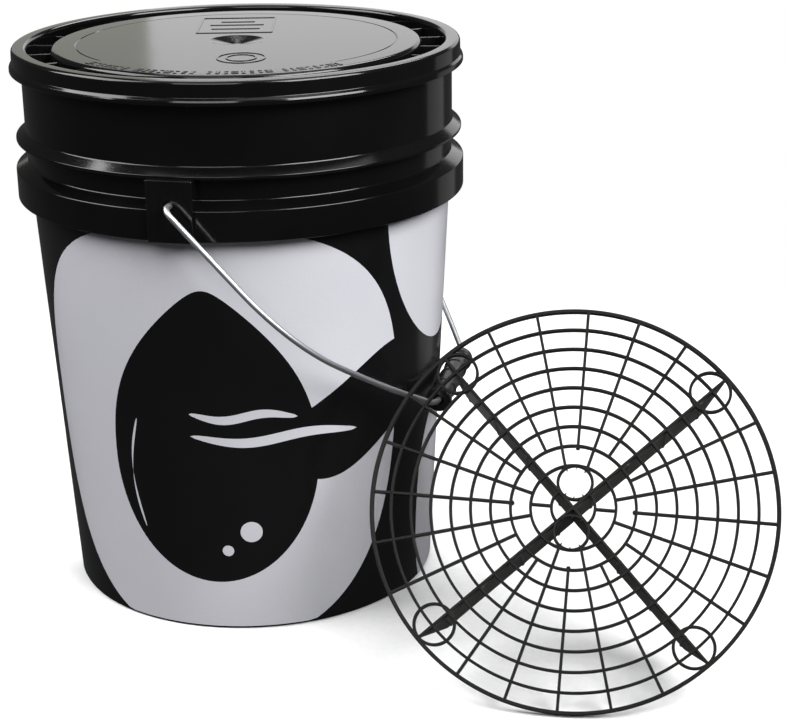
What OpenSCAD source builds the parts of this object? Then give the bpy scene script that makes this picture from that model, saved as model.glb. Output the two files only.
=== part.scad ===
// Twenty-litre wash bucket with a press-on lid, a wire bail with a plastic grip,
// and a round grit-trap insert that stands beside the bucket.
// Z is up, the origin is the centre of the foot ring, and the bail turns about Y.

/* [Bucket] */
// Outer radius of the wall at the foot
foot_r = 128.7; // [120:0.1:140]
// Outer radius of the wall just under the hanging skirt
wall_top_r = 144.0; // [138:0.1:150]
// Thickness of the wall
wall_t = 2.4; // [1.8:0.1:3]
// Height of the floor's underside above the foot ring
floor_z = 6; // [3:0.5:12]
// Outer radius of the neck under the lid
neck_r = 146.3; // [144:0.1:150]
// Height of the rim's top
rim_z = 378; // [370:0.5:390]
// Outward reach of the bead round the rim
rim_bead = 2.9; // [1:0.1:3.4]

/* [Skirt and rib] */
// Outer radius of the hanging skirt
skirt_r = 154.0; // [152:0.1:156]
// Height of the skirt's lower edge
skirt_z0 = 281; // [270:1:290]
// Height of the skirt's upper edge, where its sloping shelf starts
skirt_z1 = 301; // [296:1:306]
// Outer radius of the stacking rib above the skirt
rib_r = 152.6; // [149:0.1:155]
// Height of the rib's thin outer edge
rib_z = 322.6; // [318:0.1:330]
// Number of gussets behind the skirt
gusset_n = 24; // [12:12:36]

/* [Ears] */
// Distance of each ear's face from the bucket's axis
ear_face = 157.5; // [156:0.1:160]
// Width of each ear
ear_w = 30.4; // [26:0.2:36]
// Height of each ear's top face
ear_z1 = 321.2; // [318:0.1:322]
// Thickness of the ear's front plate
ear_t = 4; // [3:0.5:5]
// Height of the bail's pivot
pivot_z = 305; // [300:0.5:308]
// Radius of the bore that the wire turns in
bore_r = 2.0; // [1.98:0.01:2.05]
// Radius of the countersunk mouth round the wire
mouth_r = 3.95; // [3:0.05:5]

/* [Lid] */
// Height of the lid's ring, which is the overall height
lid_z = 382.1; // [380:0.1:386]
// Outer radius of the ring's top edge
ring_r = 151.9; // [151:0.1:153]
// Outer radius of the flared lip
lip_r = 154.0; // [153:0.1:155]
// Height of the lip's lower edge
lip_z = 366.6; // [366:0.1:368]
// Radius of the raised centre disc
disc_r = 125.6; // [110:0.1:128]
// Height of the raised centre disc
disc_z = 380.7; // [378:0.1:382]
// Height of the channel's floor between disc and ring
channel_z = 368; // [366:0.5:372]
// Thickness of the lid
lid_t = 2.2; // [1.8:0.1:2.6]
// Number of radial ribs in the channel
channel_ribs = 24; // [12:12:48]
// Radius of the dimple in the middle of the disc
dimple_r = 18.7; // [10:0.1:25]
// Radius of the fine groove round the disc
groove_r = 108.9; // [90:0.1:120]

/* [Bail] */
// Radius of the bail wire
wire_r = 1.95; // [1.9:0.01:1.97]
// Reach of the bail from its pivot to the middle of its grip
bail_reach = 217.5; // [215:0.5:219]
// Angle of the resting bail from straight down
bail_rest = 42.5; // [42.5:0.5:80]
// Half of the straight stretch under the grip
bail_flat = 42; // [40:1:46]
// Bends of one half from the grip to the pivot, each as radius and angle
bail_bends = [[30, 38], [700, 8], [115, 42.5]];
// Radius of the last bend, into the ear
ear_bend_r = 6; // [5:0.5:8]
// Half of the grip's length
grip_half = 44; // [40:1:46]
// Outer radius of the grip
grip_r = 8.6; // [7:0.1:8.6]
// Radius of the hole through the grip
grip_bore_r = 2.03; // [2.02:0.01:2.05]

/* [Grit trap] */
// Outer radius of the grille
trap_r = 130.6; // [128:0.1:131]
// Place of the grille's centre along X
trap_x = 251.5; // [251.5:0.5:260]
// Place of the grille's centre along Y
trap_y = -134; // [-140:0.5:-134]
// Direction that the grille faces, turned from -Y towards +X
trap_turn = 5.5; // [4:0.1:8]
// Backward lean of the grille from upright
trap_lean = 32.8; // [29:0.1:33]
// Clockwise turn of the grille in its own plane
trap_twist = 2.7; // [0:0.1:5]
// Depth of the grille's bars
bar_h = 4.5; // [3:0.5:6]
// Width of the grille's bars
bar_w = 1.9; // [1.6:0.1:2.6]
// Radius of the innermost ring that runs right round
ring1_r = 27.2; // [24:0.1:30]
// Spacing of the rings
ring_gap = 12.8; // [12:0.1:13]
// Depth of the vanes behind the grille
vane_h = 49; // [40:1:52]
// Thickness of the vanes
vane_t = 2.2; // [1.8:0.1:3]

/* [Hidden] */
$fn = 96;

film_t = 0.3;
film_z0 = 4;
film_z1 = skirt_z0 - 2;
wall_slope = (wall_top_r - foot_r) / skirt_z0;
neck_z = (neck_r - foot_r) / wall_slope;
rim_r = neck_r + rim_bead;
skirt_t = 2.2;
shelf_h = 5;
joint_z = skirt_z1 + shelf_h - 3;
rib_t = 1.8;
foot_round = 1.6;
floor_round = 5;
base_rib_n = 12;
gusset_t = 1.6;
mouth_h = 1.5;
head_r = 3.3;
head_h = 2;
side_gap = 0.4;
top_gap = 0.25;
ring_round = 2.6;
disc_round = 3;
dimple_h = 3;
groove_w = 0.8;
groove_h = 0.5;
rib_drop = 3.8;
ring_n = 8;
spoke_n = 24;
pad_r = 12.9;
pad_centre_r = 115.4;
hub_ring_r = 13.9;
eye_r = 11;
eye_centre_r = 16.2;
rim_w = 2.6;
stud_r = 1.4;
tooth_w = 1.3;
tooth_h = 1.5;
tooth_angles = [-37, 0, 37, 145, 180, 215];
lap_gap = 0.15;
vane_slant = 16;
rib_places = [14, 45, 77, 107];
vane_rib_r = 1.6;
vane_rib_out = 1.5;
behind_skirt_r = foot_r + wall_slope * joint_z + 0.4;
wire_lap = 0.02;

// Outer radius of the tapered wall at a height
function wall_r(z) = foot_r + wall_slope * z;

// Points along an arc in the profile plane, from angle a0 to a1
function arc(x, z, r, a0, a1, n = 4) =
    [for (i = [0 : n]) let (a = a0 + (a1 - a0) * i / n) [x + r * cos(a), z + r * sin(a)]];

// Tapered wall, floor and foot of the bucket, up to the joint behind the skirt's shelf
module body_profile() {
    foot = concat(
        [[foot_r - wall_t - 0.6, 0]],
        arc(foot_r - foot_round, foot_round, foot_round, -90, 0));
    top = [
        [wall_r(joint_z), joint_z],
        [wall_r(joint_z) - wall_t, joint_z],
        [wall_r(floor_z + 20) - wall_t, floor_z + 20]];
    inside = concat(
        arc(wall_r(floor_z) - wall_t - floor_round, floor_z + wall_t + floor_round,
            floor_round, 0, -90),
        [[0, floor_z + wall_t], [0, floor_z], [foot_r - wall_t - 0.6, floor_z]]);
    polygon(concat(foot, top, inside));
}

module base_ribs() {
    for (i = [0 : base_rib_n - 1])
        rotate([0, 0, i * 360 / base_rib_n])
            translate([24, -1, 2])
                cube([foot_r - wall_t - 24, 2, floor_z - 1.5]);
    translate([0, 0, 2])
        difference() {
            cylinder(h = floor_z - 1.5, r = 26);
            translate([0, 0, -1])
                cylinder(h = floor_z + 1, r = 24);
        }
}

module pail_body() {
    color("#111214")
        union() {
            rotate_extrude()
                body_profile();
            base_ribs();
        }
}

// Hanging skirt, stacking rib, neck and rim, which continue the wall above the joint
module collar_profile() {
    skirt = [
        [wall_r(joint_z) - wall_t, joint_z],
        [wall_r(joint_z), joint_z],
        [skirt_r - skirt_t, skirt_z1 - 1],
        [skirt_r - skirt_t, skirt_z0],
        [skirt_r - 0.4, skirt_z0],
        [skirt_r, skirt_z0 + 0.4],
        [skirt_r, skirt_z1],
        [wall_r(skirt_z1 + shelf_h), skirt_z1 + shelf_h]];
    rib = [
        [wall_r(rib_z - 3), rib_z - 3],
        [rib_r, rib_z - rib_t],
        [rib_r, rib_z],
        [neck_r, rib_z + 5]];
    rim = concat(
        [[neck_r, rim_z - 8], [rim_r, rim_z - 6]],
        arc(rim_r - 1.5, rim_z - 1.5, 1.5, 0, 90),
        [[neck_r - wall_t, rim_z], [neck_r - wall_t, neck_z]]);
    polygon(concat(skirt, rib, rim));
}

module gussets() {
    for (i = [0 : gusset_n - 1])
        rotate([0, 0, (i + 0.5) * 360 / gusset_n])
            translate([behind_skirt_r, -gusset_t / 2, skirt_z0 + 3])
                cube([skirt_r - 1 - behind_skirt_r, gusset_t, skirt_z1 - skirt_z0 - 3]);
}

// Both ears as blocks that stand clear of the wall; pockets and bores are cut afterwards
module ear_blocks() {
    difference() {
        for (side = [0, 180])
            rotate([0, 0, side])
                translate([-ear_w / 2, -ear_face, skirt_z0])
                    cube([ear_w, ear_face - neck_r + 3, ear_z1 - skirt_z0]);
        translate([0, 0, skirt_z0 - 1])
            cylinder(h = joint_z - skirt_z0 + 1, r = behind_skirt_r);
    }
}

module ear_cuts() {
    pocket_w = ear_w - 6;
    for (side = [0, 180])
        rotate([0, 0, side]) {
            translate([-pocket_w / 2, -ear_face + ear_t, skirt_z0 - 1])
                cube([pocket_w, ear_face - ear_t - neck_r - 0.6, ear_z1 - skirt_z0 - 1.5]);
            translate([0, -ear_face + ear_t + 1, pivot_z])
                rotate([90, 0, 0])
                    cylinder(h = ear_t + 2, r = bore_r);
            translate([0, -ear_face + mouth_h, pivot_z])
                rotate([90, 0, 0])
                    cylinder(h = mouth_h + 1, r = mouth_r);
        }
}

module pail_collar() {
    color("#111214")
        difference() {
            union() {
                rotate_extrude()
                    collar_profile();
                gussets();
                ear_blocks();
            }
            ear_cuts();
        }
}

// Thin printed film round the tapered wall
module label_wrap() {
    color("#c9c8d2")
        rotate_extrude()
            polygon([
                [wall_r(film_z0), film_z0],
                [wall_r(film_z0) + film_t, film_z0],
                [wall_r(film_z1) + film_t, film_z1],
                [wall_r(film_z1), film_z1]]);
}

// Section of the lid: disc, channel, ring, flared skirt, and back along the underside
module lid_profile() {
    leg_r = neck_r - wall_t - side_gap;
    ceiling_z = lid_z - lid_t;
    inner_r = leg_r - lid_t + 0.3;
    bowl_r = (dimple_r * dimple_r + dimple_h * dimple_h) / (2 * dimple_h);
    bowl_a = asin(dimple_r / bowl_r);
    bowl = arc(0, disc_z - dimple_h + bowl_r, bowl_r, -90, -90 + bowl_a, 6);
    top = concat(
        bowl,
        [[groove_r - groove_w / 2, disc_z], [groove_r, disc_z - groove_h],
         [groove_r + groove_w / 2, disc_z]],
        arc(disc_r - disc_round, disc_z - disc_round, disc_round, 90, 0, 5),
        [[disc_r + 0.4, channel_z], [inner_r - 0.6, channel_z]],
        arc(inner_r + ring_round, lid_z - ring_round, ring_round, 180, 90),
        arc(ring_r - ring_round, lid_z - ring_round, ring_round, 90, 0));
    lip = [
        [ring_r + 0.3, lip_z + 7.2],
        [lip_r - 0.3, lip_z + 3.4],
        [lip_r, lip_z + 2.4],
        [lip_r, lip_z + 0.5],
        [lip_r - 0.5, lip_z],
        [lip_r - 2, lip_z],
        [ring_r - 1.8, lip_z + 6],
        [ring_r - 1.8, ceiling_z],
        [leg_r, ceiling_z],
        [leg_r, channel_z - lid_t + 0.5],
        [leg_r - 0.5, channel_z - lid_t]];
    under = concat(
        [[disc_r - lid_t + 0.4, channel_z - lid_t],
         [disc_r - lid_t, disc_z - lid_t - 0.8],
         [disc_r - lid_t - 0.8, disc_z - lid_t]],
        [for (i = [len(bowl) - 1 : -1 : 0]) bowl[i] - [0, lid_t]]);
    polygon(concat(top, lip, under));
}

module lid() {
    rib_h = disc_z - rib_drop - channel_z;
    color("#16171a")
        union() {
            rotate_extrude()
                lid_profile();
            for (i = [0 : channel_ribs - 1])
                rotate([0, 0, (i + 0.5) * 360 / channel_ribs])
                    translate([disc_r - 1, -0.8, channel_z - 0.5])
                        cube([neck_r - wall_t - side_gap - disc_r, 1.6, rib_h + 0.5]);
        }
}

// Square-section seal between the rim's top and the lid's ring
module lid_gasket() {
    seal_z = rim_z + top_gap;
    color("#2a2a2c")
        rotate_extrude()
            translate([neck_r - 1, seal_z])
                square([3, lid_z - lid_t - seal_z]);
}

// A straight stretch of wire along +Y, with its children carried to its end.
// Each stretch starts a hair inside the one before it, so that the wire is one solid.
module run(length) {
    rotate([-90, 0, 0])
        cylinder(h = length, r = wire_r);
    translate([0, length - wire_lap, 0])
        children();
}

// A bend of the wire from +Y towards +Z, with its children carried to its end.
// It is a hair thinner than a straight stretch, so that it meets its neighbours cap to cap.
module bend(radius, angle, r = wire_r - 0.01) {
    translate([0, 0, radius])
        rotate([90, 0, 90])
            rotate([0, 0, -90])
                rotate_extrude(angle = angle, $fn = 720)
                    translate([radius, 0])
                        circle(r = r);
    translate([0, 0, radius])
        rotate([angle, 0, 0])
            translate([0, -wire_lap, -radius])
                children();
}

bend_1 = bail_bends[0];
bend_2 = bail_bends[1];
bend_3 = bail_bends[2];
turn_1 = bend_1[1];
turn_2 = turn_1 + bend_2[1];
turn_3 = turn_2 + bend_3[1];
rise = bend_1[0] * (1 - cos(turn_1))
     + bend_2[0] * (cos(turn_1) - cos(turn_2))
     + bend_3[0] * (cos(turn_2) - cos(turn_3))
     + ear_bend_r * (cos(turn_3) + 1);
// What the laps between stretches take off the reach, which the leg makes up
lap_rise = wire_lap * (sin(turn_1) + sin(turn_2) + 2 * sin(turn_3));
leg = (bail_reach - rise + lap_rise) / sin(turn_3);
leg_y = bail_flat + bend_1[0] * sin(turn_1)
      + bend_2[0] * (sin(turn_2) - sin(turn_1))
      + bend_3[0] * (sin(turn_3) - sin(turn_2))
      + leg * cos(turn_3);
pin_l = leg_y - ear_bend_r * sin(turn_3) - (ear_face - ear_t) + 0.5;

// Half of the bail hanging straight down, from the middle of the grip to the head in the ear
module bail_half() {
    translate([0, 0, -bail_reach])
        run(bail_flat)
            bend(bend_1[0], bend_1[1])
                bend(bend_2[0], bend_2[1], wire_r)
                    bend(bend_3[0], bend_3[1])
                        run(leg)
                            bend(ear_bend_r, 180 - turn_3)
                                run(pin_l)
                                    rotate([-90, 0, 0])
                                        cylinder(h = head_h, r = head_r);
}

// Carries the hanging bail to its resting place
module at_rest() {
    translate([0, 0, pivot_z])
        rotate([0, -bail_rest, 0])
            children();
}

module bail_wire() {
    color("#c4c6c8")
        at_rest()
            union() {
                bail_half();
                mirror([0, 1, 0])
                    bail_half();
            }
}

// Moulded grip with end collars and three finger beads
module bail_grip() {
    body_r = grip_r - 1.2;
    mouth = 6;
    beads = [for (i = [-1 : 1]) i * grip_half * 0.46];
    color("#141416")
        at_rest()
            translate([0, 0, -bail_reach])
                rotate([90, 0, 0])
                    difference() {
                        union() {
                            cylinder(h = 2 * grip_half - 1, r = body_r, center = true);
                            for (s = [-1, 1])
                                translate([0, 0, s * (grip_half - 3)])
                                    cylinder(h = 6, r = grip_r, center = true);
                            for (z = beads)
                                translate([0, 0, z])
                                    cylinder(h = 3, r = grip_r - 0.5, center = true);
                        }
                        cylinder(h = 2 * grip_half + 2, r = grip_bore_r, center = true);
                        for (s = [-1, 1])
                            translate([0, 0, s * grip_half])
                                cylinder(h = 2 * mouth, r = 3.6, center = true);
                    }
}

// Carries the trap from its own plane, front towards +Z, to where it stands
module trap_place() {
    centre_z = trap_r * cos(trap_lean) + bar_h * sin(trap_lean);
    translate([trap_x, trap_y, centre_z])
        rotate([90 - trap_lean, 0, trap_turn])
            rotate([0, 0, -trap_twist])
                children();
}

// Flat ring of bar width round a centre line
module hoop(r, w = bar_w) {
    difference() {
        circle(r = r + w / 2);
        circle(r = r - w / 2);
    }
}

// One radial bar from r0 to r1, at a clock angle from up
module spoke(a, r0, r1) {
    rotate([0, 0, -a])
        translate([-bar_w / 2, r0])
            square([bar_w, r1 - r0]);
}

// Where the spoke at a clock position starts: ring 1 beside a vane, ring 2 elsewhere
function spoke_start(k) = (k % 6 == 1 || k % 6 == 5) ? ring1_r : ring1_r + ring_gap;

// Round opening beside the hub, with small teeth pointing inwards
module eye() {
    hoop(eye_r);
    for (a = tooth_angles)
        rotate([0, 0, a])
            translate([0, eye_r])
                polygon([[tooth_w / 2, 0], [-tooth_w / 2, 0], [0, -bar_w / 2 - tooth_h]]);
}

// The hub ring is left out above and below, where the eyes are
module hub_arcs() {
    reach = 2 * hub_ring_r;
    intersection() {
        hoop(hub_ring_r);
        for (s = [-1, 1])
            polygon([[0, 0], [s * reach, reach], [s * reach, -reach]]);
    }
}

module trap_grille() {
    rim_mid = trap_r - rim_w / 2;
    color("#1b1b1d")
        trap_place()
            translate([0, 0, -bar_h])
                linear_extrude(bar_h)
                    union() {
                        hoop(rim_mid, rim_w);
                        hub_arcs();
                        for (i = [0 : ring_n - 1])
                            hoop(ring1_r + i * ring_gap);
                        for (k = [0 : spoke_n - 1])
                            if (k % 6 == 3)
                                spoke(k * 15, 0, rim_mid);
                            else
                                spoke(k * 15, spoke_start(k), rim_mid);
                        for (k = [6, 18])
                            spoke(k * 15, hub_ring_r, ring1_r);
                        for (k = [0 : 6 : 18])
                            rotate([0, 0, -15 * k])
                                translate([0, ring1_r + ring_gap - 1])
                                    circle(r = stud_r, $fn = 24);
                        for (k = [3 : 6 : 21])
                            rotate([0, 0, -15 * k])
                                translate([0, pad_centre_r])
                                    hoop(pad_r);
                        for (s = [0, 180])
                            rotate([0, 0, s])
                                translate([0, eye_centre_r])
                                    eye();
                    }
}

// Vane across the whole grille, with slanted ends, a lap slot, and round ribs that run
// down its sides and stand a little proud of its back edge
module vane(slot_from_back) {
    front_r = trap_r - 4;
    back_r = front_r - vane_slant;
    slot_w = vane_t + 2 * lap_gap;
    rotate([90, 0, 0])
        translate([0, 0, -vane_t / 2])
            linear_extrude(vane_t)
                difference() {
                    polygon([
                        [-front_r, -bar_h],
                        [-back_r, -bar_h - vane_h],
                        [back_r, -bar_h - vane_h],
                        [front_r, -bar_h]]);
                    translate([-slot_w / 2, -bar_h - vane_h / 2 - (slot_from_back ? vane_h : 0)])
                        square([slot_w, vane_h]);
                }
    for (x = rib_places)
        for (s = [-1, 1])
            translate([s * x, 0, -bar_h - vane_h - vane_rib_out])
                cylinder(h = vane_h + vane_rib_out, r = vane_rib_r);
}

module trap_vane_slotted_back() {
    color("#202022")
        trap_place()
            rotate([0, 0, 45])
                vane(true);
}

module trap_vane_slotted_front() {
    color("#202022")
        trap_place()
            rotate([0, 0, -45])
                vane(false);
}

pail_body();
pail_collar();
label_wrap();
lid();
lid_gasket();
bail_wire();
bail_grip();
trap_grille();
trap_vane_slotted_back();
trap_vane_slotted_front();
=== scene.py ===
"""Looks of the wash bucket, its lid, bail and grit trap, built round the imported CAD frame."""
import math

import bmesh
import bpy
from mathutils import Matrix, Vector
from mathutils.geometry import delaunay_2d_cdt


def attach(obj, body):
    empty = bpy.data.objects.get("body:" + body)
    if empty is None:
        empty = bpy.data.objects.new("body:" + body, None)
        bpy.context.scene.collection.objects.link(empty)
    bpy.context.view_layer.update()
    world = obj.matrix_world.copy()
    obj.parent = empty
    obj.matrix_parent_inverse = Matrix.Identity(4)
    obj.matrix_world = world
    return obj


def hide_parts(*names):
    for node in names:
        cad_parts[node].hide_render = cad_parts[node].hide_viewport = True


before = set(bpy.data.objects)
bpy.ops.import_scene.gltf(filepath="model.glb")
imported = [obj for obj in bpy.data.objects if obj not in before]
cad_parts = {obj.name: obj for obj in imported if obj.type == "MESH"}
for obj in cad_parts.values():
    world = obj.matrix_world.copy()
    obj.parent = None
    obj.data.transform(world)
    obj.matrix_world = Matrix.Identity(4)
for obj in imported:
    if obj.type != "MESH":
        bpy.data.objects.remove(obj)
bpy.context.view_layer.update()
scene = bpy.context.scene
scene.view_settings.view_transform = "Standard"

MM = 0.001
PLASTIC_IOR = 1.45
# Sizes in millimetres and angles in degrees, as in part.scad
FOOT_R, SLOPE, WALL = 128.7, 15.3 / 281, 2.4
LID_TOP, LID_RIBS = 380.7, 24
PIVOT_Z, BAIL_REST, BAIL_REACH = 305, 42.5, 217.5
TRAP_AT, TRAP_TURN, TRAP_LEAN, TRAP_TWIST = (251.5, -134), 5.5, 32.8, 2.7
TRAP_R, TRAP_DEPTH, RIM_W, BAR_W = 130.6, 4.5, 2.6, 1.9
RINGS, RING_1, RING_GAP, SPOKES = 8, 27.2, 12.8, 24
HUB_R, EYE_R, EYE_OUT, PAD_R, PAD_OUT = 13.9, 11, 16.2, 12.9, 115.4
TOOTH_ANGLES = (-37, 0, 37, 145, 180, 215)
VANE_H, VANE_THICK, VANE_SLOT, VANE_RIB_R = 49, 2.2, 2.5, 1.6


def turned(degrees, axis="Z"):
    return Matrix.Rotation(math.radians(degrees), 4, axis)


def moved(x, y, z):
    return Matrix.Translation((x, y, z))


def wall_r(z):
    """Radius of the tapered wall's outside at height z."""
    return FOOT_R + SLOPE * z


# ---------------------------------------------------------------- camera, lights and floor

def camera():
    """The photograph's view: pan and tilt in degrees, and a slight roll in radians."""
    pan, tilt, roll = math.radians(-12.46), math.radians(19.62), 0.0139
    forward = Vector((math.sin(pan) * math.cos(tilt), math.cos(pan) * math.cos(tilt), -math.sin(tilt)))
    right = Vector((math.cos(pan), -math.sin(pan), 0))
    down = forward.cross(right)
    x = math.cos(roll) * right + math.sin(roll) * down
    y = math.sin(roll) * right - math.cos(roll) * down
    data = bpy.data.cameras.new("camera")
    data.sensor_width = 36
    data.lens = 86.73
    data.clip_start = 0.05
    cam = bpy.data.objects.new("camera", data)
    place = Matrix((x, y, -forward)).transposed().to_4x4()
    place.translation = (0.379, -1.2367, 0.6054)
    cam.matrix_world = place
    scene.collection.objects.link(cam)
    scene.camera = cam


def softbox(name, at, to, size, radiance, colour=(1, 1, 1)):
    """A rectangular area light of that radiance, unseen by the camera."""
    data = bpy.data.lights.new(name, "AREA")
    data.shape = "RECTANGLE"
    data.size, data.size_y = size
    data.energy = radiance * math.pi * size[0] * size[1]
    data.color = colour
    o = bpy.data.objects.new(name, data)
    o.location = at
    o.rotation_euler = (Vector(to) - Vector(at)).to_track_quat("-Z", "Y").to_euler()
    o.visible_camera = False
    scene.collection.objects.link(o)


def lights():
    """Soft boxes round the object, and a room that is white to the camera and dim to everything else."""
    softbox("key_light", (1.9, -1.0, 1.9), (0.1, 0, 0.2), (1.8, 1.4), 13.5)
    softbox("fill_light", (-1.9, -0.7, 1.9), (0.1, 0, 0.2), (2.0, 1.6), 7.2)
    softbox("front_light", (0.0, -2.2, 1.9), (0.1, 0, 0.2), (1.4, 1.0), 4.5)
    softbox("top_light", (0.15, 0.1, 2.3), (0.15, 0, 0), (2.2, 1.6), 1.2)
    softbox("back_fill", (-0.2, 1.9, 2.3), (0.1, 0, 0.2), (1.6, 1.2), 6)
    softbox("back_light", (0.03, 3.0, 0.95), (0.03, 0, 0.95), (2.33, 0.8), 1.08)
    softbox("back_light_left", (-1.72, 3.0, 0.95), (-1.72, 0, 0.95), (1.17, 0.8), 0.5, (1, 1, 0.9))
    softbox("right_card", (0.88, 1.1, 0.1), (0.14, -0.05, 0.1), (0.55, 1.0), 0.26)
    world = bpy.data.worlds.new("studio")
    scene.world = world
    world.use_nodes = True
    nt = world.node_tree
    room = nt.nodes["Background"]
    room.inputs["Color"].default_value = (0.055, 0.055, 0.057, 1)
    white = nt.nodes.new("ShaderNodeBackground")
    white.inputs["Color"].default_value = (1, 1, 1, 1)
    path = nt.nodes.new("ShaderNodeLightPath")
    mix = nt.nodes.new("ShaderNodeMixShader")
    nt.links.new(path.outputs["Is Camera Ray"], mix.inputs[0])
    nt.links.new(room.outputs[0], mix.inputs[1])
    nt.links.new(white.outputs[0], mix.inputs[2])
    nt.links.new(mix.outputs[0], nt.nodes["World Output"].inputs["Surface"])


def floor():
    """A pale disc that fades out into the white room behind it."""
    radius, fade_from, fade_to = 1.2, 0.5, 0.8
    bm = bmesh.new()
    bmesh.ops.create_circle(bm, cap_ends=True, segments=96, radius=radius)
    mesh = bpy.data.meshes.new("floor")
    bm.to_mesh(mesh)
    bm.free()
    o = bpy.data.objects.new("floor", mesh)
    o.location = (0.1, -0.02, -0.0003)
    scene.collection.objects.link(o)
    m, nt, shader = material("floor_paper")
    shader.inputs["Roughness"].default_value = 0.7
    shader.inputs["Specular IOR Level"].default_value = 0.2
    where = node(nt, "ShaderNodeTexCoord").outputs["Object"]
    grain = noise(nt, where, 220, 4)
    link(nt, ramp(nt, grain, [(0.3, (0.86, 0.86, 0.865)), (0.7, (0.9, 0.9, 0.9))]), shader, "Base Color")
    bump(nt, grain, shader, 0.1, 0.0002)
    length = node(nt, "ShaderNodeVectorMath", operation="LENGTH")
    nt.links.new(where, length.inputs[0])
    fade = node(nt, "ShaderNodeMapRange", interpolation_type="SMOOTHSTEP")
    fade.inputs["From Min"].default_value = fade_from
    fade.inputs["From Max"].default_value = fade_to
    nt.links.new(length.outputs["Value"], fade.inputs["Value"])
    clear = node(nt, "ShaderNodeBsdfTransparent")
    mix = node(nt, "ShaderNodeMixShader")
    nt.links.new(fade.outputs[0], mix.inputs[0])
    nt.links.new(shader.outputs[0], mix.inputs[1])
    nt.links.new(clear.outputs[0], mix.inputs[2])
    nt.links.new(mix.outputs[0], nt.nodes["Material Output"].inputs["Surface"])
    mesh.materials.append(m)
    # The gloss black plastic mirrors a dark floor, so the pale disc takes light and shadow but throws none back
    o.visible_glossy = False
    o.visible_diffuse = False


# ---------------------------------------------------------------- materials

def material(name):
    """A new node material, as the material, its node tree and its shader."""
    m = bpy.data.materials.new(name)
    m.use_nodes = True
    return m, m.node_tree, m.node_tree.nodes["Principled BSDF"]


def node(nt, kind, **settings):
    n = nt.nodes.new(kind)
    for key, value in settings.items():
        setattr(n, key, value)
    return n


def link(nt, output, shader, socket):
    nt.links.new(output, shader.inputs[socket])


def noise(nt, where, scale, detail, stretch=(1, 1, 1), rough=0.5):
    """Noise from 0 to 1 over object coordinates; stretch scales them along each axis."""
    place = node(nt, "ShaderNodeMapping")
    place.inputs["Scale"].default_value = stretch
    nt.links.new(where, place.inputs["Vector"])
    n = node(nt, "ShaderNodeTexNoise")
    n.inputs["Scale"].default_value = scale
    n.inputs["Detail"].default_value = detail
    n.inputs["Roughness"].default_value = rough
    nt.links.new(place.outputs[0], n.inputs["Vector"])
    return n.outputs["Fac"]


def ramp(nt, value, stops):
    """A colour ramp from (position, colour or grey) stops."""
    r = node(nt, "ShaderNodeValToRGB")
    elements = r.color_ramp.elements
    while len(elements) < len(stops):
        elements.new(0.5)
    for e, (at, colour) in zip(elements, stops):
        e.position = at
        e.color = (*colour, 1) if isinstance(colour, tuple) else (colour, colour, colour, 1)
    nt.links.new(value, r.inputs["Fac"])
    return r.outputs["Color"]


def blend(nt, how, factor, a, b):
    """Mixes two colour outputs; factor is a number or an output."""
    mix = node(nt, "ShaderNodeMix", data_type="RGBA", blend_type=how)
    if isinstance(factor, float):
        mix.inputs[0].default_value = factor
    else:
        nt.links.new(factor, mix.inputs[0])
    nt.links.new(a, mix.inputs[6])
    nt.links.new(b, mix.inputs[7])
    return mix.outputs[2]


def bump(nt, height, shader, strength, distance):
    """Fine relief on the shader's normal, its distance in metres."""
    b = node(nt, "ShaderNodeBump")
    b.inputs["Strength"].default_value = strength
    b.inputs["Distance"].default_value = distance
    nt.links.new(height, b.inputs["Height"])
    nt.links.new(b.outputs[0], shader.inputs["Normal"])


def plastic(name, dark, light, rough, grain=0.00004, ior=PLASTIC_IOR, along=(1, 1, 1), scuffs=0.2):
    """Moulded plastic: uneven tone, dull patches, fine scuffs, paler edges, and a slight moulding grain."""
    m, nt, shader = material(name)
    shader.inputs["IOR"].default_value = ior
    where = node(nt, "ShaderNodeTexCoord").outputs["Object"]
    cloud = noise(nt, where, 14, 5)
    fine = noise(nt, where, 900, 3)
    scuff = noise(nt, where, 260, 6, along, 0.7)
    tone = ramp(nt, cloud, [(0.3, dark), (0.7, light)])
    worn = ramp(nt, node(nt, "ShaderNodeNewGeometry").outputs["Pointiness"], [(0.53, 0.0), (0.62, 1.0)])
    pale = ramp(nt, fine, [(0.3, tuple(2.2 * c for c in light)), (0.7, tuple(3 * c for c in light))])
    edge = blend(nt, "MULTIPLY", 1.0, worn, ramp(nt, scuff, [(0.4, 0.0), (0.6, 0.5)]))
    link(nt, blend(nt, "MIX", edge, tone, pale), shader, "Base Color")
    dull = ramp(nt, cloud, [(0.35, rough * 0.85), (0.7, rough * 1.15)])
    scratched = ramp(nt, scuff, [(0.58, 0.0), (0.74, scuffs)])
    link(nt, blend(nt, "ADD", 1.0, dull, scratched), shader, "Roughness")
    bump(nt, fine, shader, 0.35, grain)
    return m


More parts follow.
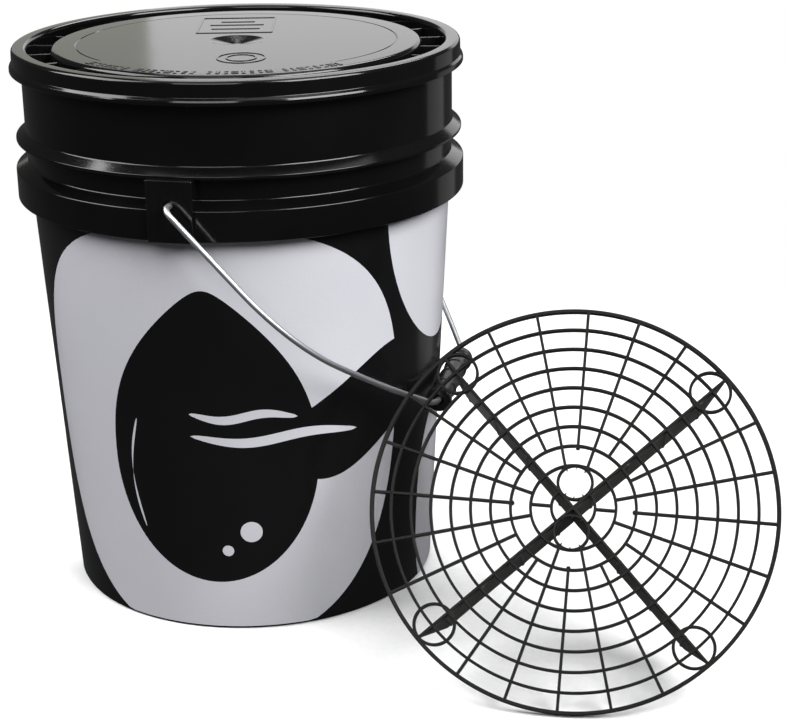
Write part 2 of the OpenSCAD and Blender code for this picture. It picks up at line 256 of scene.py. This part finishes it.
def printed_film(name, dark, light, rough):
    """Gloss label film: slightly uneven print, faint waviness where it is stretched round the wall."""
    m, nt, shader = material(name)
    shader.inputs["IOR"].default_value = PLASTIC_IOR
    where = node(nt, "ShaderNodeTexCoord").outputs["Object"]
    cloud = noise(nt, where, 6, 4)
    wave = noise(nt, where, 18, 2, (1, 1, 0.35))
    dots = node(nt, "ShaderNodeTexVoronoi")
    dots.inputs["Scale"].default_value = 1400
    nt.links.new(where, dots.inputs["Vector"])
    tone = ramp(nt, cloud, [(0.3, dark), (0.7, light)])
    screen = ramp(nt, dots.outputs["Distance"], [(0.0, 0.93), (0.6, 1.0)])
    link(nt, blend(nt, "MULTIPLY", 1.0, tone, screen), shader, "Base Color")
    scuff = ramp(nt, noise(nt, where, 90, 5, (1, 1, 0.4), 0.6), [(0.4, rough), (0.75, rough + 0.08)])
    link(nt, scuff, shader, "Roughness")
    bump(nt, wave, shader, 0.15, 0.0005)
    return m


def zinc_wire(name):
    """Bright zinc plate with spangle, drawing lines and a few dull spots."""
    m, nt, shader = material(name)
    shader.inputs["Metallic"].default_value = 1.0
    where = node(nt, "ShaderNodeTexCoord").outputs["Object"]
    cloud = noise(nt, where, 60, 5)
    lines = noise(nt, where, 1500, 3, (1, 0.15, 1))
    spangle = [(0.3, (0.52, 0.53, 0.56)), (0.55, (0.72, 0.73, 0.75)), (0.75, (0.82, 0.82, 0.83))]
    link(nt, ramp(nt, cloud, spangle), shader, "Base Color")
    dull = ramp(nt, cloud, [(0.3, 0.46), (0.7, 0.36)])
    drawn = ramp(nt, lines, [(0.3, 0.0), (0.7, 0.12)])
    link(nt, blend(nt, "ADD", 0.5, dull, drawn), shader, "Roughness")
    bump(nt, lines, shader, 0.3, 0.00003)
    return m


def seal_rubber(name):
    """Matt black rubber with a fine dusty grain."""
    m, nt, shader = material(name)
    where = node(nt, "ShaderNodeTexCoord").outputs["Object"]
    cloud = noise(nt, where, 40, 5)
    fine = noise(nt, where, 1800, 3)
    link(nt, ramp(nt, cloud, [(0.3, (0.018, 0.018, 0.019)), (0.7, (0.035, 0.034, 0.034))]), shader, "Base Color")
    link(nt, ramp(nt, fine, [(0.3, 0.55), (0.7, 0.8)]), shader, "Roughness")
    bump(nt, fine, shader, 0.5, 0.00006)
    return m


# ---------------------------------------------------------------- mesh tools, in millimetres

def rounded(corners, steps=4):
    """Closed outline through (x, y, radius) corners, each rounded to its radius."""
    points = []
    for i, (x, y, r) in enumerate(corners):
        p = Vector((x, y))
        before, after = Vector(corners[i - 1][:2]), Vector(corners[(i + 1) % len(corners)][:2])
        u, v = (before - p).normalized(), (after - p).normalized()
        half = math.acos(max(-1, min(1, u.dot(v)))) / 2
        if not r or half > 1.55:
            points.append(p)
            continue
        cut = min(r / math.tan(half), 0.47 * (before - p).length, 0.47 * (after - p).length)
        centre = p + (u + v).normalized() * (cut / math.cos(half))
        start, end = p + u * cut - centre, p + v * cut - centre
        sweep = math.pi - 2 * half
        for k in range(steps + 1):
            t = k / steps
            points.append(centre + (start * math.sin((1 - t) * sweep) + end * math.sin(t * sweep)) / math.sin(sweep))
    return points


def lathe(bm, outline, segments=192, place=Matrix()):
    """Adds the solid that the closed (radius, height) outline sweeps round Z."""
    rings = []
    for x, z in outline:
        if x < 1e-6:
            rings.append([bm.verts.new(place @ Vector((0, 0, z)))] * segments)
        else:
            rings.append([bm.verts.new(place @ Vector((x * math.cos(a), x * math.sin(a), z)))
                          for a in (2 * math.pi * i / segments for i in range(segments))])
    for low, high in zip(rings, rings[1:] + rings[:1]):
        if low[0] is low[1] and high[0] is high[1]:
            continue
        for i in range(segments):
            j = (i + 1) % segments
            bm.faces.new(dict.fromkeys((low[i], low[j], high[j], high[i])))


def block(bm, size, centre, fillet, place=Matrix(), steps=2):
    """Adds a box with rounded edges."""
    part = bmesh.new()
    bmesh.ops.create_cube(part, size=1, matrix=Matrix.Translation(centre) @ Matrix.Diagonal((*size, 1)))
    bmesh.ops.bevel(part, geom=part.edges[:], offset=fillet, segments=steps, profile=0.5, affect="EDGES")
    join(bm, part, place)


def plate(bm, outline, thickness, fillet, place=Matrix()):
    """Adds a flat plate with rounded edges: the outline in XY, centred on its thickness in Z."""
    part = bmesh.new()
    face = part.faces.new([part.verts.new((x, y, -thickness / 2)) for x, y in outline])
    lifted = bmesh.ops.extrude_face_region(part, geom=[face])["geom"]
    bmesh.ops.translate(part, verts=[g for g in lifted if isinstance(g, bmesh.types.BMVert)], vec=(0, 0, thickness))
    bmesh.ops.bevel(part, geom=part.edges[:], offset=fillet, segments=2, profile=0.5, affect="EDGES")
    join(bm, part, place)


def join(bm, part, place):
    """Moves the part to its place and adds it to the mesh."""
    bmesh.ops.transform(part, matrix=place, verts=part.verts)
    mesh = bpy.data.meshes.new("part")
    part.to_mesh(mesh)
    part.free()
    bm.from_mesh(mesh)
    bpy.data.meshes.remove(mesh)


def bar(bm, a, b, width, depth, fillet, place=Matrix()):
    """Adds a bar from a to b in the XY plane, its top face at Z 0."""
    a, b = Vector(a), Vector(b)
    along = b - a
    turn = Matrix.Translation((*((a + b) / 2), -depth / 2)) @ Matrix.Rotation(math.atan2(along.y, along.x), 4, "Z")
    block(bm, (along.length, width, depth), (0, 0, 0), fillet, place @ turn)


def to_object(bm, name):
    """Makes an object in metres from the mesh in millimetres."""
    bmesh.ops.recalc_face_normals(bm, faces=bm.faces)
    bmesh.ops.scale(bm, vec=(MM, MM, MM), verts=bm.verts)
    mesh = bpy.data.meshes.new(name)
    bm.to_mesh(mesh)
    bm.free()
    o = bpy.data.objects.new(name, mesh)
    scene.collection.objects.link(o)
    return o


def weigh_normals(o):
    o.modifiers.new("face_normals", "WEIGHTED_NORMAL").keep_sharp = True


def finished(bm, name, finishes, body, nodes, weighted=True):
    """Makes the smooth-shaded piece with its material slots, ties it to its body and hides the CAD nodes it stands
    for.
    """
    o = to_object(bm, name)
    o.data.shade_smooth()
    for m in finishes:
        o.data.materials.append(m)
    if weighted:
        weigh_normals(o)
    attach(o, body)
    if nodes:
        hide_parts(*nodes)
    return o


def cut(target, cutters):
    """Applies Boolean cuts to the object's mesh."""
    for c in cutters:
        mod = target.modifiers.new("cut", "BOOLEAN")
        mod.object = c
        mod.solver = "EXACT"
    graph = bpy.context.evaluated_depsgraph_get()
    mesh = bpy.data.meshes.new_from_object(target.evaluated_get(graph))
    target.modifiers.clear()
    target.data = mesh
    for c in cutters:
        bpy.data.objects.remove(c)


# ---------------------------------------------------------------- bucket

def pail(finish):
    """The pail with its base ribs, hanging skirt and the gussets behind the skirt."""
    outline = rounded([
        (125.7, 0, 0.5), (FOOT_R, 0, 1.6), (wall_r(303), 303, 1.0), (151.8, 300, 0.6), (151.8, 281, 0.6),
        (154, 281, 0.7), (154, 301, 0.9), (wall_r(306), 306, 1.2), (wall_r(319.6), 319.6, 1.0),
        (152.6, 320.8, 0.5), (152.6, 322.6, 0.7), (146.3, 327.6, 1.6), (146.3, 370, 1.5), (149.2, 372, 0.8),
        (149.2, 378, 1.5), (143.9, 378, 0.8), (143.9, 323.2, 3), (wall_r(26) - WALL, 26, 3),
        (wall_r(6) - WALL, 8.4, 5), (0, 8.4, 0), (0, 6, 0), (125.7, 6, 0.5)])
    bm = bmesh.new()
    lathe(bm, outline, 256)
    for i in range(12):
        block(bm, (102, 2, 4.6), (75.2, 0, 4.2), 0.4, turned(30 * i))
    lathe(bm, rounded([(24, 2, 0.4), (26, 2, 0.4), (26, 6.5, 0), (24, 6.5, 0)]), 96)
    for i in range(24):
        block(bm, (8.4, 1.6, 18), (148.8, 0, 292.6), 0.3, turned(15 * i + 7.5))
    finished(bm, "pail", [finish], "bucket", ("pail_body", "pail_collar"))


def ear(side, finish):
    """One ear block with its pocket behind, the wire's bore and the countersunk mouth."""
    turn = turned(side)
    bm = bmesh.new()
    block(bm, (30.4, 14.2, 40.2), (0, -150.4, 301.1), 0.9, turn, 3)
    o = finished(bm, "ear_front" if side == 0 else "ear_back", [finish], "bucket", ())
    pocket = bmesh.new()
    block(pocket, (24.4, 6.6, 38), (0, -150.2, 299), 0.8, turn)
    cutters = [to_object(pocket, "pocket")]
    for name, radius, near, far in (("bore", 2.0, 160, 150), ("mouth", 3.95, 160, 156)):
        hole = bmesh.new()
        lathe(hole, rounded([(0, -far, 0), (radius, -far, 0.5), (radius, -near, 0), (0, -near, 0)]), 48,
              turn @ moved(0, 0, PIVOT_Z) @ turned(-90, "X"))
        cutters.append(to_object(hole, name))
    cut(o, cutters)
    o.data.set_sharp_from_angle(angle=math.radians(40))
    weigh_normals(o)


# ---------------------------------------------------------------- label

def oval(az, z, left, right, down, up, power=2.5, points=120):
    """Closed superellipse on the label, as (azimuth in degrees, height in mm), with its own reach each way."""
    out = []
    for i in range(points):
        c, s = math.cos(2 * math.pi * i / points), math.sin(2 * math.pi * i / points)
        x, y = abs(c) ** (2 / power), abs(s) ** (2 / power)
        out.append((az + (right if c > 0 else -left) * x, z + (up if s > 0 else -down) * y))
    return out


def droplet(az, z, half_az, low, tip, points=120):
    """Closed water drop: round below, drawn in to a soft tip above."""
    out = []
    for i in range(points):
        c, s = math.cos(2 * math.pi * i / points), math.sin(2 * math.pi * i / points)
        width = half_az * c * (1 - 0.5 * max(0, s) ** 3)
        out.append((az + width, z + s * (tip if s > 0 else low)))
    return out


def stroke(path, thick, points=40):
    """Closed stroke along path(s) for s from -1 to 1, tapered to both ends."""
    line = [-1 + 2 * i / points for i in range(points + 1)]
    mid = [(*path(s), thick * math.sqrt(1 - s * s)) for s in line]
    return [(x, y - t) for x, y, t in mid] + [(x, y + t) for x, y, t in reversed(mid[1:-1])]


def wave(az, z, half_az, swing, thick):
    """Closed wavy stroke of half_az degrees each way."""
    return stroke(lambda s: (az + half_az * s, z + swing * math.sin(s * 4)), thick)


def label_shapes():
    """Outlines of the print as (outline, ink), each laid over the ones before it."""
    shapes = []
    for turn in (0, 180):
        az = turn - 86.5
        shapes += [
            (oval(az, 155, 58.5, 58.5, 167, 132.6), False),
            (droplet(az + 1.5, 122, 30.5, 86, 124), True),
            (stroke(lambda s: (az + 47 + 26 * s, 152 + 16 * s + 7 * math.sin(s * 3)), 34), True),
            (stroke(lambda s: (az - 20 - 3.4 * math.cos(1.5 * s), 112 + 40 * s), 5), False),
            (wave(az + 11, 158, 15, 2.2, 3.2), False),
            (wave(az + 20, 142, 24, 2.4, 3.6), False),
            (oval(az + 12, 74, 3.2, 3.2, 7.6, 7.6, 2.0, 48), False),
            (oval(az + 5, 60, 1.7, 1.7, 4, 4, 2.0, 32), False),
            (oval(turn - 2, 290, 31, 24, 110, 100, 2.0), False),
            (oval(turn + 10, 60, 24, 14, 90, 80), False)]
    return shapes


def inside(point, outline):
    """Whether the point lies in the closed outline."""
    x, y = point
    hit = False
    for (x0, y0), (x1, y1) in zip(outline, outline[1:] + outline[:1]):
        if (y0 > y) != (y1 > y) and x < x0 + (y - y0) * (x1 - x0) / (y1 - y0):
            hit = not hit
    return hit


def label(white, black):
    """Printed film as a closed shell: outlines triangulated flat, then wrapped round the tapered wall."""
    z0, z1, film, gap = 1.8, 279, 0.3, 0.02
    seam, mm_per_degree = -151, 2.374
    grid_step, columns, rows = 3, 121, 12
    shapes = [([(x, min(z1, max(z0, z))) for x, z in s], ink) for s, ink in label_shapes()]
    points, edges = [], []
    for s, _ in shapes:
        kept = [p for i, p in enumerate(s) if p != s[i - 1]]
        first = len(points)
        points += [Vector(((x - seam) * mm_per_degree, z)) for x, z in kept]
        edges += [(first + i, first + (i + 1) % len(kept)) for i in range(len(kept))]
    for i in range(columns):
        for j in range(rows):
            points.append(Vector((grid_step * i * mm_per_degree, z0 + (z1 - z0) * j / (rows - 1))))
    flat, _, faces, *_ = delaunay_2d_cdt(points, edges, [], 0, 0.002)
    bm = bmesh.new()
    outer, inner = [], []
    for p in flat:
        a = math.radians(seam + p.x / mm_per_degree)
        for ring, r in ((outer, wall_r(p.y) + film), (inner, wall_r(p.y) + gap)):
            ring.append(bm.verts.new((r * math.cos(a), r * math.sin(a), p.y)))
    for f in faces:
        middle = sum((flat[i] for i in f), Vector((0, 0))) / 3
        at = (seam + middle.x / mm_per_degree, middle.y)
        ink = ([True] + [dark for s, dark in shapes if inside(at, s)])[-1]
        for ring, order in ((outer, 1), (inner, -1)):
            bm.faces.new([ring[i] for i in f][::order]).material_index = int(ink)
    bmesh.ops.remove_doubles(bm, verts=bm.verts, dist=0.01)
    rim = [e for e in bm.edges if e.is_boundary]
    bmesh.ops.bridge_loops(bm, edges=[e for e in rim if e.verts[0].co.z < 100])
    bmesh.ops.bridge_loops(bm, edges=[e for e in rim if e.verts[0].co.z > 100])
    o = finished(bm, "label_film", [white, black], "bucket", ("label_wrap",), weighted=False)
    lean = math.atan(SLOPE)
    normals = []
    for v in o.data.vertices:
        a = math.atan2(v.co.y, v.co.x)
        normals.append((math.cos(lean) * math.cos(a), math.cos(lean) * math.sin(a), -math.sin(lean)))
    o.data.normals_split_custom_set_from_vertices(normals)


# ---------------------------------------------------------------- lid

def lid(finish):
    """The lid with its ribbed channel, and plain raised marks on its disc."""
    top = LID_TOP
    outline = rounded([
        (0, 377.7, 0), (3, 377.7, 5), (18.7, top, 4), (108.3, top, 0.2), (108.9, top - 0.5, 0.2), (109.5, top, 0.2),
        (125.6, top, 3), (126, 368, 1), (141, 368, 1), (141.6, 382.1, 2.6), (151.9, 382.1, 2.6), (152.2, 371.8, 0.8),
        (153.6, 370.3, 0.5), (154, 369.2, 0.5), (154, 367.1, 0.4), (153.5, 366.6, 0.3), (152, 366.6, 0.4),
        (150.1, 372.6, 0.5), (150.1, 379.9, 0.5), (143.5, 379.9, 0.5), (143.5, 366.3, 0.4), (143, 365.8, 0.3),
        (123.8, 365.8, 0.5), (123.4, 378.5, 1), (18.7, 378.5, 4), (3, 375.5, 5), (0, 375.5, 0)])
    bm = bmesh.new()
    lathe(bm, outline, 256)
    for v in bm.verts:
        # The groove stops where the raised marks along the front begin
        a = math.degrees(math.atan2(v.co.y, v.co.x))
        if -128 < a < -38 and 108.2 < v.co.xy.length < 109.6 and v.co.z > 379:
            v.co.z = top
    for i in range(LID_RIBS):
        block(bm, (18.4, 1.6, 9.4), (133.8, 0, 372.2), 0.5, turned(360 / LID_RIBS * (i + 0.5)))
    # Raised frame with three plain bars, a small double oval, and plain raised dashes along the front
    place = moved(-17, 57, top + 0.45) @ turned(13)
    corners = [(-26, -31), (26, -31), (26, 31), (-26, 31)]
    for a, b in zip(corners, corners[1:] + corners[:1]):
        bar(bm, a, b, 1.4, 0.9, 0.25, place)
    for y, half in ((-14, 17), (2, 19), (15, 12)):
        bar(bm, (-half, y), (half, y), 3.4, 0.8, 0.3, place)
    place = moved(22, -64, top) @ turned(15) @ Matrix.Diagonal((1, 1.15, 1, 1))
    for r in (15, 9):
        lathe(bm, rounded([(r, -0.4, 0), (r + 1.3, -0.4, 0), (r + 1.3, 0.45, 0.25), (r, 0.45, 0.25)], 2), 64, place)
    dashes = [(i, 2.6 if i % 4 else 4.6) for i in range(34) if i % 9 != 7]
    for i, length in dashes:
        place = turned(-126 + i * 2.6) @ moved(117.2, 0, top + 0.4)
        if i % 3 == 0:
            bar(bm, (-3.2, 0), (3.2, 0), 1.4, 0.8, 0.25, place)
        for x in ((-3, 3) if i % 2 else (-3, 0, 3)):
            bar(bm, (x, -length / 2), (x, length / 2), 1.1, 0.8, 0.25, place)
    finished(bm, "lid_shell", [finish], "lid_unit", ("lid",))


# ---------------------------------------------------------------- bail grip

def grip(finish):
    """The tube on the bail, with a collar at each end and three beads between them."""
    outline = [(3.6, 44, 0.6), (8.6, 44, 0.9), (8.6, 38, 0.8), (7.4, 38, 0.6)]
    for z in (20.24, 0, -20.24):
        outline += [(7.4, z + 1.5, 0.5), (8.1, z + 1.5, 0.5), (8.1, z - 1.5, 0.5), (7.4, z - 1.5, 0.5)]
    outline += [(7.4, -38, 0.6), (8.6, -38, 0.8), (8.6, -44, 0.9), (3.6, -44, 0.6), (3.6, -38, 0.2),
                (2.03, -38, 0.2), (2.03, 38, 0.2), (3.6, 38, 0.2)]
    place = moved(0, 0, PIVOT_Z) @ turned(-BAIL_REST, "Y") @ moved(0, 0, -BAIL_REACH) @ turned(90, "X")
    bm = bmesh.new()
    lathe(bm, rounded(outline), 64, place)
    finished(bm, "grip_tube", [finish], "grip", ("bail_grip",))


# ---------------------------------------------------------------- grit trap

def trap_place():
    """Where the trap stands: leaning back, with its lowest point on the floor."""
    lean = math.radians(TRAP_LEAN)
    z = TRAP_R * math.cos(lean) + TRAP_DEPTH * math.sin(lean)
    return (moved(*TRAP_AT, z) @ turned(TRAP_TURN) @ Matrix.Rotation(math.pi / 2 - lean, 4, "X")
            @ turned(-TRAP_TWIST))


def bar_section(r, width):
    """Section of a round bar at radius r, with softer edges in front."""
    half, deep = width / 2, -TRAP_DEPTH
    return rounded([(r - half, deep, 0.3), (r + half, deep, 0.3), (r + half, 0, 0.5), (r - half, 0, 0.5)], 3)


def hoop(bm, r, width, place, segments=160):
    lathe(bm, bar_section(r, width), segments, place)


def arc_bar(bm, r, width, a0, a1, place, steps=14):
    """A curved bar from angle a0 to a1, closed at its ends."""
    section = bar_section(r, width)
    rings = []
    for i in range(steps + 1):
        a = math.radians(a0 + (a1 - a0) * i / steps)
        rings.append([bm.verts.new(place @ Vector((x * math.cos(a), x * math.sin(a), z))) for x, z in section])
    for one, two in zip(rings, rings[1:]):
        for j in range(len(section)):
            k = (j + 1) % len(section)
            bm.faces.new((one[j], one[k], two[k], two[j]))
    bm.faces.new(rings[0])
    bm.faces.new(rings[-1])


def grille(finish):
    """Rim, rings and spokes, with studs, four round pads, two hub arcs and two toothed eyes."""
    place = trap_place()
    rim, ring_2 = TRAP_R - RIM_W / 2, RING_1 + RING_GAP
    bm = bmesh.new()
    hoop(bm, rim, RIM_W, place, 256)
    for i in range(RINGS):
        hoop(bm, RING_1 + i * RING_GAP, BAR_W, place)
    for a in (0, 180):
        arc_bar(bm, HUB_R, BAR_W, a - 45, a + 45, place)
    for k in range(SPOKES):
        turn = place @ turned(-360 / SPOKES * k)
        # Within each quarter, one spoke carries a vane, two start at the first ring and three at the second
        start = 0 if k % 6 == 3 else RING_1 if k % 6 in (1, 5) else ring_2
        bar(bm, (0, start), (0, rim), BAR_W, TRAP_DEPTH, 0.4, turn)
        if k in (6, 18):
            bar(bm, (0, HUB_R), (0, RING_1), BAR_W, TRAP_DEPTH, 0.4, turn)
        if k % 6 == 0:
            stud = [(0, -TRAP_DEPTH, 0), (1.4, -TRAP_DEPTH, 0.3), (1.4, 0, 0.5), (0, 0, 0)]
            lathe(bm, rounded(stud), 24, turn @ moved(0, ring_2 - 1, 0))
        if k % 6 == 3:
            hoop(bm, PAD_R, BAR_W, turn @ moved(0, PAD_OUT, 0), 64)
    for side in (0, 180):
        eye = place @ turned(side) @ moved(0, EYE_OUT, 0)
        hoop(bm, EYE_R, BAR_W, eye, 64)
        for a in TOOTH_ANGLES:
            tooth = eye @ turned(a) @ moved(0, 0, -TRAP_DEPTH / 2)
            plate(bm, [(0.65, 10.6), (-0.65, 10.6), (0, 8.55)], TRAP_DEPTH - 0.1, 0.12, tooth)
    finished(bm, "grille", [finish], "trap", ("trap_grille",))


def vane(side, finish):
    """One vane: a plate with slanted ends and a lap slot, and round ribs down its sides."""
    front, back = -TRAP_DEPTH, -TRAP_DEPTH - VANE_H
    middle, half = front - VANE_H / 2, VANE_SLOT / 2
    ends = (-126.6, -110.6, 110.6, 126.6)
    if side > 0:
        outline = [(ends[0], front), (ends[1], back), (-half, back), (-half, middle), (half, middle), (half, back),
                   (ends[2], back), (ends[3], front)]
    else:
        outline = [(ends[0], front), (ends[1], back), (ends[2], back), (ends[3], front), (half, front),
                   (half, middle), (-half, middle), (-half, front)]
    turn = trap_place() @ turned(45 * side)
    bm = bmesh.new()
    plate(bm, outline, VANE_THICK, 0.35, turn @ Matrix.Rotation(math.pi / 2, 4, "X"))
    tail = back - 1.5
    rib = rounded([(0, tail, 0), (VANE_RIB_R, tail, 0.7), (VANE_RIB_R, front, 0.2), (0, front, 0)])
    for x in (14, 45, 77, 107):
        for s in (-1, 1):
            lathe(bm, rib, 24, turn @ moved(s * x, 0, 0))
    name = "slotted_back" if side > 0 else "slotted_front"
    finished(bm, "vane_" + name, [finish], "trap", ("trap_vane_" + name,))


# ---------------------------------------------------------------- scene

camera()
lights()
floor()

pail_black = plastic("pail_black", (0.0018, 0.0018, 0.0019), (0.0036, 0.0036, 0.0038), 0.13,
                     along=(1, 1, 0.2), scuffs=0.12)
lid_black = plastic("lid_black", (0.002, 0.002, 0.0021), (0.004, 0.004, 0.0042), 0.1, scuffs=0.08)
grip_black = plastic("grip_black", (0.006, 0.006, 0.006), (0.011, 0.011, 0.011), 0.24, grain=0.00006)
# A low index keeps the thin bars as dark as they look against a white background
trap_black = plastic("trap_black", (0.005, 0.005, 0.0046), (0.010, 0.010, 0.009), 0.36, grain=0.00008, ior=1.2)
# The vanes are a dark grey plastic, and their base colour is lifted further as painted light, making up for light
# that does not reach their faces
vane_grey_with_painted_light = plastic("vane_grey_with_painted_light", (0.080, 0.078, 0.074), (0.135, 0.131, 0.125), 0.42, grain=0.00008)
film_white = printed_film("film_white", (0.60, 0.60, 0.65), (0.66, 0.66, 0.70), 0.2)
film_black = printed_film("film_black", (0.004, 0.004, 0.0045), (0.007, 0.007, 0.0075), 0.16)
zinc = zinc_wire("zinc")
rubber = seal_rubber("rubber")

pail(pail_black)
ear(0, pail_black)
ear(180, pail_black)
label(film_white, film_black)
lid(lid_black)
grip(grip_black)
grille(trap_black)
vane(1, vane_grey_with_painted_light)
vane(-1, vane_grey_with_painted_light)

carried = {"lid_gasket": rubber, "bail_wire": zinc}
for name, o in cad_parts.items():
    for s in o.material_slots:
        s.material = carried.get(name, pail_black)
